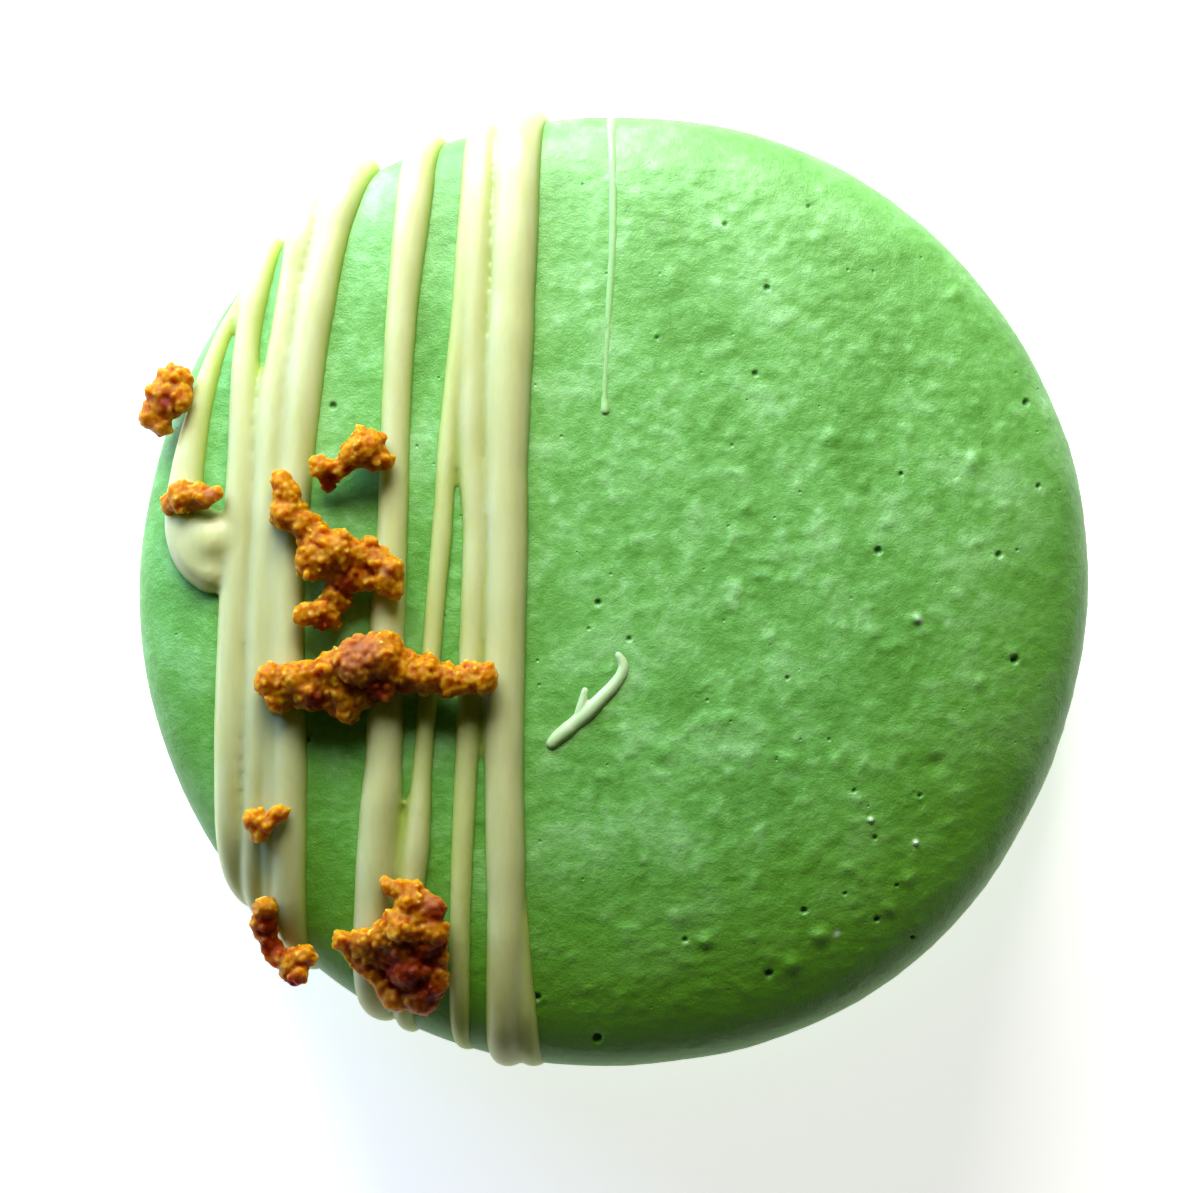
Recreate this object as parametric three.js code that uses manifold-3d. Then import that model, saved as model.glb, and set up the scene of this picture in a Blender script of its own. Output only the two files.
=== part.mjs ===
// A french macaron lying flat: two frilled almond shells on a cream filling, with strands of
// white chocolate and toasted biscuit crumbs on the upper one.
// Millimetres, +Z up. It rests on Z = 0 and the middle of its resting flat is the origin.
import * as THREE from "three";
import { mergeVertices } from "three/addons/utils/BufferGeometryUtils.js";
import Module from "manifold-3d";

const wasm = await Module();
wasm.setup();

// Driving dimensions.
const shellDiameter = 47.8; // mean width over the shoulder
const shellHeight = 9; // from the cream to the crown
const shoulderHeight = 4.2; // where a shell is widest
const footHeight = 2.7; // the frilled rim that baked out under the shoulder
const footDiameter = 46.4;
const creamDiameter = 44.8;
const creamThickness = 4;
const restDiameter = 15; // the flat that the lower shell lies on
const seam = 0.15; // free space between neighbouring pieces

// Form of a shell.
const shellRadius = shellDiameter / 2;
const footRadius = footDiameter / 2;
const fullness = 2.4; // 2 is an ellipse, more is a flatter top with a tighter shoulder
const undercut = 0.9; // how far the shoulder overhangs the groove above the foot
const segments = 68;
const domeTurns = [0, 10, 20, 30, 40, 50, 60, 70, 80, 90, 120, 150, 180]; // degrees round the section

// Unevenness round the edge: waves in one turn, size in mm, and where the first crest points.
const shellWaves = [[2, 0.07, 79], [3, 0.07, 23], [4, 0.1, 41.5], [6, 0.1, 6]];
const footWaves = [[3, 0.14, 80], [13, 0.16, 4], [19, 0.18, 9], [25, 0.1, 2]];
const creamWaves = [[2, 0.2, 150], [5, 0.22, 20], [9, 0.16, 33], [14, 0.1, 5]];

// Strands on the upper shell, as seen from above: [x, y, width] from one end to the other.
// hang is how far the two ends run on, over the shoulder and down the side.
const strands = [
  {
    height: 1.15,
    hang: [2.4, 1.8],
    stations: [
      [-4.6, 23.2, 2.3], [-4.95, 16.5, 2.4], [-5.25, 9.5, 2.3], [-5.3, 2, 2.15], [-5.45, -6.5, 2.05],
      [-5.35, -15.6, 2], [-5.45, -21.3, 1.9], [-5.45, -23, 1.8],
    ],
  },
  {
    height: 0.55,
    hang: [0, 1.6],
    stations: [
      [-5.05, -12, 1.1], [-4.75, -18, 1.4], [-4.3, -23, 1.5],
    ],
  },
  {
    height: 0.85,
    hang: [1.6, 1.2],
    stations: [
      [-6.4, 22.6, 1.5], [-6.8, 17.5, 1.5], [-7.05, 9.5, 1.5], [-6.85, 2.5, 1.4], [-7.2, -6, 1.3],
      [-7.6, -14.8, 1.15], [-7.65, -22.2, 1.05],
    ],
  },
  {
    height: 0.8,
    hang: [1.2, 0.9],
    stations: [
      [-6.9, 22.5, 1], [-7.3, 18.5, 1], [-7.7, 12.5, 1.1], [-8.35, 6, 1.05], [-8.95, -1.5, 1.05],
      [-9.5, -8.6, 1.05], [-9.85, -12.9, 1.4], [-10.25, -17, 1.15], [-10.5, -21.2, 1.1],
    ],
  },
  {
    height: 0.95,
    hang: [1.5, 1.6],
    stations: [
      [-9.7, 21.4, 1.75], [-10.05, 18.8, 1.9], [-10.6, 13.6, 1.65], [-10.9, 7, 1.5], [-11.2, 0, 1.75],
      [-11.45, -8.5, 2], [-11.65, -11, 2.1], [-11.8, -13, 2.1], [-12.1, -19.9, 1.9],
    ],
  },
  {
    height: 1.1,
    hang: [2.4, 1.6],
    stations: [
      [-13.5, 19.4, 2], [-14.2, 17.3, 1.9], [-15.3, 11.5, 2], [-16.1, 4.5, 2], [-16.4, -1.5, 2],
      [-16.25, -9, 2], [-16.15, -17, 1.9],
    ],
  },
  {
    height: 0.95,
    hang: [1.6, 1.4],
    stations: [
      [-15.4, 17.8, 1.8], [-16.15, 14.5, 1.6], [-16.6, 11.5, 1.7], [-17, 8, 1.9], [-17.45, 0, 1.9],
      [-17.75, -8.5, 1.7], [-17.9, -15.1, 1.5],
    ],
  },
  {
    height: 0.9,
    hang: [1.4, 1.6],
    stations: [
      [-17.7, 15.6, 1.5], [-18.4, 11.5, 1.45], [-18.5, 6, 1.8], [-18.85, 0, 1.8], [-19.1, -7, 1.8],
      [-19.05, -13.2, 1.75],
    ],
  },
  {
    height: 0.95,
    hang: [1.2, 0],
    stations: [
      [-18.4, 14.8, 0.9], [-19.6, 12.6, 1], [-20.6, 9.5, 1.4], [-21.3, 6, 1.8], [-21.4, 3.7, 2.3],
      [-21, 2, 2.5], [-20.1, 0.9, 2.3], [-19.2, 0.4, 1.7],
    ],
  },
  {
    height: 0.85,
    hang: [0, 0],
    stations: [
      [-20.9, 3.4, 1.4], [-20.2, 2.7, 2.4], [-19.5, 1.7, 2.4],
    ],
  },
  {
    height: 0.4,
    hang: [0, 0],
    stations: [
      [-10.4, -9.4, 0.5], [-10.5, -11, 0.9], [-10.75, -13.5, 1.3], [-11.1, -17.5, 1.2],
    ],
  },
  {
    height: 0.3,
    hang: [0.8, 0],
    stations: [[-0.1, 23.3, 0.56], [0, 18.5, 0.54], [-0.25, 13.5, 0.5], [-0.4, 8.7, 0.56]],
  },
  {
    height: 0.4,
    hang: [0, 0],
    stations: [
      [0.09, -3.02, 0.5], [0.52, -3.8, 0.66], [0.21, -4.58, 0.74], [-0.58, -5.44, 0.84],
      [-1.9, -6.69, 0.86], [-3.3, -7.95, 0.66],
    ],
  },
];
const strandSink = 0.5; // how deep a strand's underside reaches into the shell
const strandSides = 8;
const strandStep = 4.5; // length of strand to one ring of its faces
const fewestSteps = 8;

// Crumbs on the upper shell: each lump is [x, y, radius, lift], its middle seen from above at
// x, y, and lift is how high this stands over the shell.
const crumbs = {
  crumb_left_rim: [
    [-21.85, 10.5, 0.85, 1.2], [-22.45, 10.7, 0.65, 1.6], [-22.75, 9.85, 0.8, 1.6],
    [-21.75, 9.65, 0.8, 1.2], [-22.3, 9.3, 0.85, 1.3], [-23.05, 8.7, 0.72, 1.5],
    [-22.65, 8.35, 0.6, 1.3],
  ],
  crumb_left_blob: [
    [-21.5, 4.6, 0.9, 1.05], [-20.7, 4.7, 0.75, 1.1], [-22.1, 4.35, 0.62, 0.9],
    [-19.95, 4.8, 0.45, 1.2],
  ],
  crumb_bridge: [
    [-12.35, 7.1, 1.1, 1.4], [-12.9, 6.75, 0.8, 1.3], [-11.8, 6.6, 0.7, 1.4], [-11.25, 6.35, 0.42, 1.3],
    [-13.7, 6.1, 0.55, 1.2], [-14.6, 6.1, 0.6, 1.2], [-14.35, 5.7, 0.45, 1], [-14.15, 5.2, 0.4, 0.65],
  ],
  crumb_chain: [
    [-16.5, 5.4, 0.6, 1.4], [-16.25, 4.7, 0.7, 1.4], [-16.3, 3.8, 0.9, 1.4], [-15.3, 3.3, 0.65, 1.3],
    [-14.8, 2.6, 0.9, 1.3], [-14.9, 1.45, 1.05, 1.3], [-13.8, 2, 1.15, 1.4], [-13, 1.8, 0.75, 1.3],
    [-12.15, 2.4, 0.4, 1.3], [-11.8, 1.5, 0.65, 1.3], [-11, 1.05, 0.7, 1.5], [-11.5, 0.4, 0.7, 1.4],
    [-10.9, 0, 0.5, 1.4], [-13.3, 0.6, 0.85, 1], [-14.4, -1.1, 0.95, 0.8], [-13.7, -0.5, 0.7, 0.7],
    [-15.4, -1.2, 0.65, 1.2],
  ],
  crumb_long: [
    [-17.1, -4.5, 0.85, 1.4], [-16.75, -5.4, 0.85, 1.2], [-15.9, -4.4, 0.95, 1.5], [-15, -5, 1.1, 1.2],
    [-13.3, -5.65, 1, 1.1], [-14, -4.1, 1.1, 1.5], [-12.9, -3.6, 1.3, 1.7], [-11.6, -3.2, 1.25, 1.7],
    [-11.6, -4.6, 1, 1.2], [-10.4, -4.1, 1.05, 1.4], [-9.4, -4.2, 1.1, 1.4], [-8.3, -4.6, 0.85, 1.3],
    [-7.3, -4.4, 0.85, 1.4], [-6.5, -4.45, 0.85, 1.5],
  ],
  crumb_small: [
    [-17.95, -11.5, 0.62, 1.2], [-17.5, -11.7, 0.55, 1.2], [-17.65, -12.2, 0.5, 1.1],
    [-16.95, -11.4, 0.4, 1.2], [-16.6, -11.05, 0.42, 1.3],
  ],
  crumb_hook: [
    [-17.4, -15.95, 0.6, 1.1], [-17.65, -16.7, 0.58, 1.2], [-17.3, -17.2, 0.55, 1.1],
    [-17.1, -17.9, 0.58, 1.3], [-16.8, -18.6, 0.58, 1.6], [-16, -19.1, 0.8, 1.5],
    [-15.5, -18.3, 0.65, 1.2], [-16, -19.65, 0.5, 2],
  ],
  crumb_large: [
    [-11.3, -14.8, 0.45, 1.2], [-10.5, -14.95, 0.65, 1.3], [-9.85, -14.85, 0.45, 1.4],
    [-10, -15.6, 0.9, 1.5], [-9.1, -16, 0.8, 1.4], [-10.6, -16.9, 1.15, 1.7], [-9.1, -17.1, 1, 1.6],
    [-13.4, -17.6, 0.65, 1.2], [-12.4, -17.6, 0.9, 1.4], [-12.7, -18.6, 0.6, 1.2],
    [-12, -19, 0.65, 1.2], [-11.3, -18.4, 0.9, 1.1], [-10.1, -18.7, 1.4, 1.1], [-10.9, -20.3, 0.8, 1.2],
    [-9.6, -20.3, 0.95, 1.2], [-9, -19.5, 0.9, 1.3], [-8.9, -18.3, 0.75, 1.2],
  ],
};
const crumbRoughness = 0.16; // share of a lump's radius that its surface rises and falls
const smallLump = 1.3; // radius under which a lump is a plain nugget of few faces
const nuggetSwell = 1.12; // makes up for the roundness that a nugget lacks
const weldDistance = 0.01; // points closer than this are one point

const shellMaterial = new THREE.MeshStandardMaterial({ color: 0x7cc468, roughness: 0.6, metalness: 0 });
const creamMaterial = new THREE.MeshStandardMaterial({ color: 0xf0e6c4, roughness: 0.5, metalness: 0 });
const crumbMaterial = new THREE.MeshStandardMaterial({ color: 0xb86420, roughness: 0.8, metalness: 0 });

// The outside of a shell from its crown over the shoulder to the groove above the foot:
// x is the radius and y the height above the cream.
class ShellCurve extends THREE.Curve {
  getPoint(t, target = new THREE.Vector2()) {
    const turn = t * Math.PI;
    const upright = Math.abs(Math.cos(turn)) ** (2 / fullness);
    if (t > 0.5) {
      const drop = shoulderHeight - footHeight;
      return target.set(shellRadius - undercut * (1 - Math.sin(turn)), shoulderHeight - drop * upright);
    }
    const across = Math.sin(turn) ** (2 / fullness);
    return target.set(shellRadius * across, shoulderHeight + (shellHeight - shoulderHeight) * upright);
  }
}
const shellCurve = new ShellCurve();
const shellReach = shellCurve.getLength();

// How far the waves push the edge out at this azimuth.
function waveAt(waves, azimuth) {
  let push = 0;
  for (const [count, size, crest] of waves) {
    push += size * Math.cos(count * (azimuth - THREE.MathUtils.degToRad(crest)));
  }
  return push;
}

// Turns a profile about Z and pushes each point out by push(azimuth, radius, height).
function turned(profile, push) {
  const geometry = new THREE.LatheGeometry(profile, segments);
  geometry.rotateX(Math.PI / 2);
  const position = geometry.getAttribute("position");
  for (let i = 0; i < position.count; i++) {
    const x = position.getX(i);
    const y = position.getY(i);
    const radius = Math.hypot(x, y);
    if (radius > 0) {
      const out = 1 + push(Math.atan2(y, x), radius, position.getZ(i)) / radius;
      position.setXY(i, x * out, y * out);
    }
  }
  return geometry;
}

// A frilled shell with its flat side on Z = 0. crownFlat is the radius of the flat on its crown,
// and grow swells the outside, for the cut that keeps the crumbs clear.
function shellGeometry({ crownFlat = 0, grow = 0 }) {
  const flatHeight = shellCurve.getPointAt(flatDistance(crownFlat) / shellReach).y;
  const foot = [[0, 0], [-0.7, 0], [-0.15, 0.45], [0, 1.2], [-0.1, 1.9], [-0.45, 2.45]];
  const profile = foot.map(([back, height], i) => new THREE.Vector2(i ? footRadius + back : 0, height));
  for (const turn of [...domeTurns].reverse()) {
    const point = shellCurve.getPoint(turn / 180);
    if (point.x > crownFlat) profile.push(point.addScalar(grow));
  }
  if (crownFlat) profile.push(new THREE.Vector2(crownFlat, flatHeight));
  profile.push(new THREE.Vector2(0, flatHeight + grow));
  return turned(profile, (azimuth, radius, height) => {
    const onFoot = height > 0 && height < footHeight;
    const shellPush = waveAt(shellWaves, azimuth) * (radius / shellRadius);
    return onFoot ? shellPush / 2 + waveAt(footWaves, azimuth + height / 12) : shellPush;
  });
}

function creamGeometry() {
  const radius = creamDiameter / 2;
  const side = [[-0.5, 0], [-0.1, 0.15], [0.2, 0.5], [-0.1, 0.85], [-0.5, 1]];
  const profile = side.map(([out, level]) => new THREE.Vector2(radius + out, level * creamThickness));
  profile.unshift(new THREE.Vector2(0, 0));
  profile.push(new THREE.Vector2(0, creamThickness));
  return turned(profile, (azimuth, _, height) => waveAt(creamWaves, azimuth + height / 20));
}

// The distance from the crown, along the shell, of what stands this far from the axis.
function flatDistance(radius) {
  let near = 0;
  let far = shellReach;
  while (far - near > 0.01) {
    const middle = (near + far) / 2;
    const passed = shellCurve.getUtoTmapping(middle / shellReach) > 0.5;
    if (passed || shellCurve.getPointAt(middle / shellReach).x > radius) far = middle;
    else near = middle;
  }
  return near;
}

// A point seen from above, put on the shell as it would lie when peeled off flat.
function peeled(x, y) {
  const flat = new THREE.Vector2(x, y);
  const atEdge = 1 + waveAt(shellWaves, flat.angle()) / shellRadius;
  return flat.setLength(flatDistance(flat.length() / atEdge));
}

// The place on the shell, and the way out of it, of a point on the peeled flat.
function onShell(flat) {
  const azimuth = flat.angle();
  const along = Math.min(flat.length() / shellReach, 1);
  const section = shellCurve.getPointAt(along);
  const tangent = shellCurve.getTangentAt(along);
  const radius = section.x * (1 + waveAt(shellWaves, azimuth) / shellRadius);
  return {
    place: new THREE.Vector3(radius * Math.cos(azimuth), radius * Math.sin(azimuth), section.y),
    out: new THREE.Vector3(-tangent.y * Math.cos(azimuth), -tangent.y * Math.sin(azimuth), tangent.x),
  };
}

// The point that stands this far off the shell and is seen at x, y from above.
function overShell(x, y, lift) {
  const aim = new THREE.Vector2(x, y);
  const point = new THREE.Vector3();
  for (let i = 0; i < 8; i++) {
    const { place, out } = onShell(peeled(aim.x, aim.y));
    point.copy(place).addScaledVector(out, lift);
    aim.x += x - point.x;
    aim.y += y - point.y;
  }
  return point;
}

// A strand: a sphere drawn out along its line on the shell, with a round back and round ends.
function strandGeometry({ stations, height, hang }, grow = 0) {
  const flats = stations.map(([x, y]) => peeled(x, y));
  const widths = stations.map((station) => station[2]);
  const runOn = (end, before, length) => end.clone().add(end.clone().sub(before).setLength(length));
  if (hang[0]) {
    flats.unshift(runOn(flats[0], flats[1], hang[0]));
    widths.unshift(widths[0]);
  }
  if (hang[1]) {
    flats.push(runOn(flats.at(-1), flats.at(-2), hang[1]));
    widths.push(widths.at(-1));
  }
  const line = new THREE.SplineCurve(flats);
  const widthLine = new THREE.SplineCurve(widths.map((width, i) => new THREE.Vector2(i, width)));
  const length = line.getLength();
  const steps = Math.max(fewestSteps, Math.round(length / strandStep));
  const geometry = new THREE.SphereGeometry(1, strandSides, steps);
  const position = geometry.getAttribute("position");
  for (let i = 0; i < position.count; i++) {
    const along = Math.acos(THREE.MathUtils.clamp(position.getY(i), -1, 1)) / Math.PI;
    const round = Math.atan2(position.getZ(i), position.getX(i));
    const t = line.getUtoTmapping(along);
    const halfWidth = widthLine.getPoint(t).y / 2;
    const toEnd = Math.min(along, 1 - along) * length;
    const taper = toEnd < halfWidth ? Math.sqrt(1 - (1 - toEnd / halfWidth) ** 2) : 1;
    const { place, out } = onShell(line.getPoint(t));
    const ahead = onShell(line.getPoint(Math.min(t + 0.01, 1))).place;
    const behind = onShell(line.getPoint(Math.max(t - 0.01, 0))).place;
    const side = out.clone().cross(ahead.sub(behind)).normalize();
    const rise = Math.sin(round);
    place.addScaledVector(side, Math.cos(round) * (halfWidth + grow) * taper);
    place.addScaledVector(out, rise * (rise > 0 ? height + grow : strandSink) * taper);
    position.setXYZ(i, place.x, place.y, place.z);
  }
  return geometry;
}

// A rough lump that stands off the shell.
function lumpGeometry([x, y, radius, lift]) {
  const isNugget = radius < smallLump;
  const geometry = new THREE.IcosahedronGeometry(radius, isNugget ? 0 : 1);
  const swell = isNugget ? nuggetSwell : 1;
  const position = geometry.getAttribute("position");
  const middle = overShell(x, y, lift);
  const point = new THREE.Vector3();
  for (let i = 0; i < position.count; i++) {
    point.fromBufferAttribute(position, i);
    const wave = Math.sin(4.1 * point.x + 3 * x) + Math.sin(4.7 * point.y + 5 * y) + Math.sin(5.3 * point.z + x);
    point.multiplyScalar(swell + crumbRoughness * wave).add(middle);
    position.setXYZ(i, point.x, point.y, point.z);
  }
  return geometry;
}

function solidOf(geometry) {
  geometry.deleteAttribute("normal");
  geometry.deleteAttribute("uv");
  const merged = mergeVertices(geometry, weldDistance);
  const vertProperties = new Float32Array(merged.getAttribute("position").array);
  const triVerts = new Uint32Array(merged.index.array);
  return new wasm.Manifold(new wasm.Mesh({ numProp: 3, vertProperties, triVerts }));
}

function geometryOf(solid) {
  const mesh = solid.getMesh();
  const geometry = new THREE.BufferGeometry();
  geometry.setAttribute("position", new THREE.BufferAttribute(mesh.vertProperties, 3));
  geometry.setIndex(new THREE.BufferAttribute(mesh.triVerts, 1));
  geometry.computeVertexNormals();
  return geometry;
}

// The largest closed surface alone, which drops loose scraps and fills hollows that fusing sealed.
function oneBody(solid) {
  const bodies = solidOf(geometryOf(solid)).decompose();
  return bodies.reduce((largest, body) => (body.volume() > largest.volume() ? body : largest));
}

// The upper shell with its strands fused on, swollen by grow.
function dressedShell(grow = 0) {
  const solids = strands.map((strand) => solidOf(strandGeometry(strand, grow)));
  return oneBody(wasm.Manifold.union([solidOf(shellGeometry({ grow })), ...solids]));
}

// The lumps of a crumb grown together and cut to sit on the dressed shell.
function crumbSolid(lumps, clearance) {
  const joined = wasm.Manifold.union(lumps.map((lump) => solidOf(lumpGeometry(lump))));
  return oneBody(joined.subtract(clearance));
}

const macaron = new THREE.Group();

function addPiece(name, geometry, material, height) {
  const mesh = new THREE.Mesh(geometry, material);
  mesh.name = name;
  mesh.position.z = height;
  macaron.add(mesh);
}

const lowerShell = shellGeometry({ crownFlat: restDiameter / 2 });
lowerShell.computeBoundingBox();
const lowerHeight = lowerShell.boundingBox.max.z;
lowerShell.rotateX(Math.PI);
const creamLevel = lowerHeight + seam;
const upperLevel = creamLevel + creamThickness + seam;
const clearance = dressedShell(seam);

addPiece("bottom_shell", lowerShell, shellMaterial, lowerHeight);
addPiece("cream_filling", creamGeometry(), creamMaterial, creamLevel);
addPiece("top_shell", geometryOf(dressedShell()), shellMaterial, upperLevel);
for (const [name, lumps] of Object.entries(crumbs)) {
  addPiece(name, geometryOf(crumbSolid(lumps, clearance)), crumbMaterial, upperLevel);
}

export default macaron;
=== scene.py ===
import math
import random

import bpy
import numpy as np
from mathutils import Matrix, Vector, noise


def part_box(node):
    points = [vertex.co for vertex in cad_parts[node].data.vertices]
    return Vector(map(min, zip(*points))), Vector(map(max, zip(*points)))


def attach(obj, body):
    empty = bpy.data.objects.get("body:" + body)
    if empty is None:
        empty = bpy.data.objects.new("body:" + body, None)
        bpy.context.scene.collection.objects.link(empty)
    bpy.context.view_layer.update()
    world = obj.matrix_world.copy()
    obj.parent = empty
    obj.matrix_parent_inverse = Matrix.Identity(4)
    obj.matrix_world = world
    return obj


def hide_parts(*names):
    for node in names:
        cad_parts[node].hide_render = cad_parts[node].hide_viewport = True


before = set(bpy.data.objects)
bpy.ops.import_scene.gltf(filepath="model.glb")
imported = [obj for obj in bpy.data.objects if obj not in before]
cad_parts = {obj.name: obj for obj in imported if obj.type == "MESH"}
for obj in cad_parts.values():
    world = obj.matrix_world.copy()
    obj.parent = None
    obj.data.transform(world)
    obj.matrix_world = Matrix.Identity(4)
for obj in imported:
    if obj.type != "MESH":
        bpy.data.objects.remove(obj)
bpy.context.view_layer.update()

mm = 0.001
bpy.ops.object.select_all(action='DESELECT')
bpy.context.tool_settings.mesh_select_mode = (False, False, True)      # edit mode picks faces

# the form of both shells, as in the solids: mm, height 0 is where a shell meets the cream
shellForm = {
    'radius': 23.9,
    'height': 9.0,
    'shoulder': 4.2,        # where it is widest
    'foot': 2.7,            # top of the frilled rim
    'footRadius': 23.2,
    'undercut': 0.9,        # the groove above the foot
    'fullness': 2.4,        # 2 is an ellipse, more is squarer
    # waves of the edge: how many go round, mm, degrees where one crests
    'waves': [(2, 0.07, 79), (3, 0.07, 23), (4, 0.1, 41.5), (6, 0.1, 6)],
}
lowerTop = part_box('bottom_shell')[1].z / mm       # where the lower shell meets the cream
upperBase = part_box('top_shell')[0].z / mm         # where the upper one does
creamLow, creamHigh = (corner.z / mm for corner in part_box('cream_filling'))


def shellSection(turn):
    # radius and height of the shell's outside, turn 0 at the crown and 1 in the groove
    angle = turn * math.pi
    bow = abs(math.cos(angle)) ** (2 / shellForm['fullness'])
    shoulder = shellForm['shoulder']
    if turn > 0.5:
        back = shellForm['undercut'] * (1 - math.sin(angle))
        return shellForm['radius'] - back, shoulder - (shoulder - shellForm['foot']) * bow
    across = math.sin(angle) ** (2 / shellForm['fullness'])
    return shellForm['radius'] * across, shoulder + (shellForm['height'] - shoulder) * bow


sectionSteps = 600
sectionLine = np.array([shellSection(i / sectionSteps) for i in range(sectionSteps + 1)])
sectionRun = np.concatenate([[0], np.cumsum(np.hypot(*np.diff(sectionLine, axis=0).T))])
shoulderStep = sectionSteps // 2
slopeStep = 0.05        # mm along the section over which its slope is read


def edgeWave(azimuth, waves):
    # mm that an edge with such waves stands out here
    return sum(size * math.cos(count * (azimuth - math.radians(crest)))
               for count, size, crest in waves)


def shellWave(azimuth):
    return edgeWave(azimuth, shellForm['waves'])


def peeled(x, y):
    # a point seen from above, as it lies when the crust is peeled off flat
    azimuth = math.atan2(y, x)
    radius = math.hypot(x, y) / (1 + shellWave(azimuth) / shellForm['radius'])
    run = np.interp(radius, sectionLine[:shoulderStep, 0], sectionRun[:shoulderStep])
    return Vector((math.cos(azimuth) * run, math.sin(azimuth) * run))


def onShell(flat, lift=0.0):
    # back from the peeled flat to the shell, lifted off it by so many mm
    azimuth = math.atan2(flat.y, flat.x)
    stretch = 1 + shellWave(azimuth) / shellForm['radius']
    beyond = max(0.0, flat.length - sectionRun[-1] + slopeStep)      # hangs down past the groove
    run = flat.length - beyond
    radius, nextRadius = np.interp((run, run + slopeStep), sectionRun, sectionLine[:, 0])
    height, nextHeight = np.interp((run, run + slopeStep), sectionRun, sectionLine[:, 1])
    radius *= stretch
    outward = Vector((height - nextHeight, nextRadius * stretch - radius)).normalized()
    radius += outward.x * lift
    height += outward.y * lift - beyond
    return Vector((math.cos(azimuth) * radius, math.sin(azimuth) * radius, upperBase + height))


def overShell(x, y, lift):
    # the place so many mm over the shell that is seen at x, y from above
    aim = Vector((x, y))
    for _ in range(8):      # closes in on it
        place = onShell(peeled(aim.x, aim.y), lift)
        aim += Vector((x, y)) - place.xy
    return place


def smoothThrough(points, perSpan):
    # an even curve through the points, each a tuple of any length
    line = []
    for i in range(len(points) - 1):
        p0, p1 = points[max(i - 1, 0)], points[i]
        p2, p3 = points[i + 1], points[min(i + 2, len(points) - 1)]
        for step in range(perSpan):
            t = step / perSpan
            line.append([0.5 * ((2 * b) + (c - a) * t + (2 * a - 5 * b + 4 * c - d) * t * t
                                + (3 * b - a - 3 * c + d) * t ** 3)
                         for a, b, c, d in zip(p0, p1, p2, p3)])
    line.append(list(points[-1]))
    return line


def activate(piece):
    bpy.ops.object.select_all(action='DESELECT')
    piece.select_set(True)
    bpy.context.view_layer.objects.active = piece


def applyModifier(piece, kind, **settings):
    activate(piece)
    modifier = piece.modifiers.new(kind.title(), kind)
    for key, value in settings.items():
        setattr(modifier, key, value)
    bpy.ops.object.modifier_apply(modifier=modifier.name)


def remesh(piece, size):
    # one even skin of square faces, size in mm
    applyModifier(piece, 'REMESH', mode='VOXEL', voxel_size=size * mm, use_smooth_shade=True)


def pointsOf(piece):
    places = np.empty(len(piece.data.vertices) * 3)
    piece.data.vertices.foreach_get('co', places)
    return places.reshape(-1, 3) / mm


def normalsOf(piece):
    normals = np.empty(len(piece.data.vertices) * 3)
    piece.data.vertices.foreach_get('normal', normals)
    return normals.reshape(-1, 3)


def setPoints(piece, places):
    piece.data.vertices.foreach_set('co', (places * mm).ravel())
    piece.data.update()


def sculpt(piece, rise):
    # moves each point out along its normal by rise(place, normal), in mm
    places, normals = pointsOf(piece), normalsOf(piece)
    moves = [rise(Vector(place), Vector(normal)) for place, normal in zip(places, normals)]
    setPoints(piece, places + normals * np.array(moves)[:, None])
    return np.array(moves)


def paint(piece, name, values):
    # a value on each point that the materials read
    attribute = piece.data.attributes.new(name, 'FLOAT', 'POINT')
    attribute.data.foreach_set('value', np.asarray(values, dtype=np.float32))


def awayFrom(places, x, y, radius):
    # how far off a mark each point is seen from above, 1 at the mark's edge
    return np.hypot(places[:, 0] - x, places[:, 1] - y) / radius


def hollowness(piece, rounds):
    # mm that the neighbours round a point stand above it: more in hollows, less than 0 on crests
    edges = np.empty(len(piece.data.edges) * 2, dtype=np.int64)
    piece.data.edges.foreach_get('vertices', edges)
    a, b = edges.reshape(-1, 2).T
    places, normals = pointsOf(piece), normalsOf(piece)
    count = np.bincount(np.concatenate([a, b]), minlength=len(places)).clip(1)

    def average(values):
        sums = [np.bincount(a, column[b], len(places)) + np.bincount(b, column[a], len(places))
                for column in values.T]
        return np.stack([total / count for total in sums], axis=1)

    spread = places
    for _ in range(rounds):
        spread = average(spread)
    return ((spread - places) * normals).sum(axis=1)


def finishPiece(piece, name, material, replaced, angle=60):
    activate(piece)
    piece.name = piece.data.name = name
    bpy.ops.object.shade_smooth_by_angle(angle=math.radians(angle))
    piece.data.materials.clear()
    piece.data.materials.append(material)
    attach(piece, 'root')
    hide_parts(replaced)
    bpy.ops.object.select_all(action='DESELECT')


def addNode(tree, kind, **settings):
    node = tree.nodes.new(kind)
    for key, value in settings.items():
        if key in node.inputs:
            node.inputs[key].default_value = value
        else:
            setattr(node, key, value)
    return node


def startGroup(name, sizes, result):
    # a shader group that takes a place and sizes (mm), and gives one value
    tree = bpy.data.node_groups.new(name, 'ShaderNodeTree')
    tree.interface.new_socket('Place', in_out='INPUT', socket_type='NodeSocketVector')
    for size in sizes:
        tree.interface.new_socket(size, in_out='INPUT', socket_type='NodeSocketFloat')
    tree.interface.new_socket(result, in_out='OUTPUT', socket_type='NodeSocketFloat')
    source, end = addNode(tree, 'NodeGroupInput'), addNode(tree, 'NodeGroupOutput')
    perMetre = addNode(tree, 'ShaderNodeMath', operation='DIVIDE')      # the first size as a scale
    perMetre.inputs[0].default_value = 1 / mm
    tree.links.new(source.outputs[sizes[0]], perMetre.inputs[1])
    return tree, source.outputs, end.inputs[result], perMetre.outputs[0]


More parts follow.
